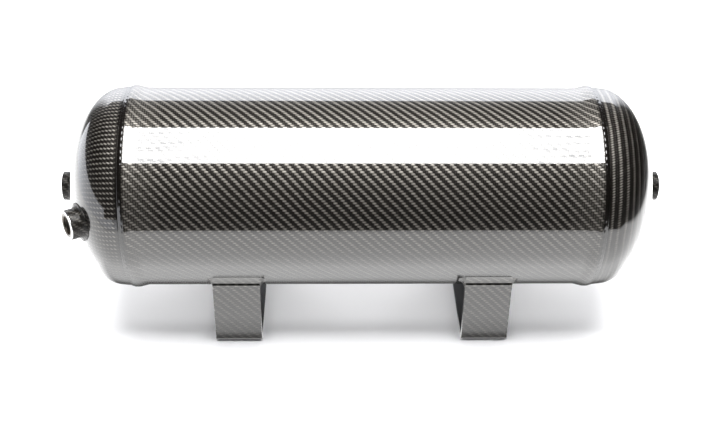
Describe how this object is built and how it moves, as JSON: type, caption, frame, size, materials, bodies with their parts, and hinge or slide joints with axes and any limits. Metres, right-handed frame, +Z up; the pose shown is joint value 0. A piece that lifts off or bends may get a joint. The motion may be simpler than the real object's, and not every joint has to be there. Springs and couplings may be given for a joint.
{
  "type": "wrapped air tank",
  "caption": "Horizontal cylindrical pressure tank with domed ends, a glossy woven carbon wrap, threaded ports in its ends and two U-shaped strap feet.",
  "frame": {"origin": "on the ground, under the middle of the tank", "axes": "+X along the tank, +Z up, -Y towards the front, where the off-centre port is"},
  "size_m": [0.621, 0.2104, 0.2457],
  "materials": {
    "carbon_wrap": "2x2 twill carbon cloth under a thick clear gloss resin",
    "shell_alloy": "mill finish",
    "weld_metal": "as welded",
    "bung_alloy": "turned and polished face",
    "strap_black": "satin black"
  },
  "bodies": {
    "root": {"shell_tube": "shell_alloy", "carbon_sleeve": "carbon_wrap", "left_head": "shell_alloy", "left_backing_ring": "shell_alloy", "left_girth_weld": "weld_metal", "left_carbon_cap": "carbon_wrap", "left_foot_strap": "strap_black", "left_foot_welds": "weld_metal", "left_foot_front_skin": "carbon_wrap", "left_foot_front_fairing": "carbon_wrap", "left_foot_rear_skin": "carbon_wrap", "left_foot_rear_fairing": "carbon_wrap", "right_head": "shell_alloy", "right_backing_ring": "shell_alloy", "right_girth_weld": "weld_metal", "right_carbon_cap": "carbon_wrap", "right_foot_strap": "strap_black", "right_foot_welds": "weld_metal", "right_foot_front_skin": "carbon_wrap", "right_foot_front_fairing": "carbon_wrap", "right_foot_rear_skin": "carbon_wrap", "right_foot_rear_fairing": "carbon_wrap", "left_centre_bung": "bung_alloy", "left_centre_bung_weld": "weld_metal", "left_centre_collar": "carbon_wrap", "left_front_bung": "bung_alloy", "left_front_bung_weld": "weld_metal", "left_front_collar": "carbon_wrap", "right_centre_bung": "bung_alloy", "right_centre_bung_weld": "weld_metal", "right_centre_collar": "carbon_wrap"}
  },
  "joints": []
}
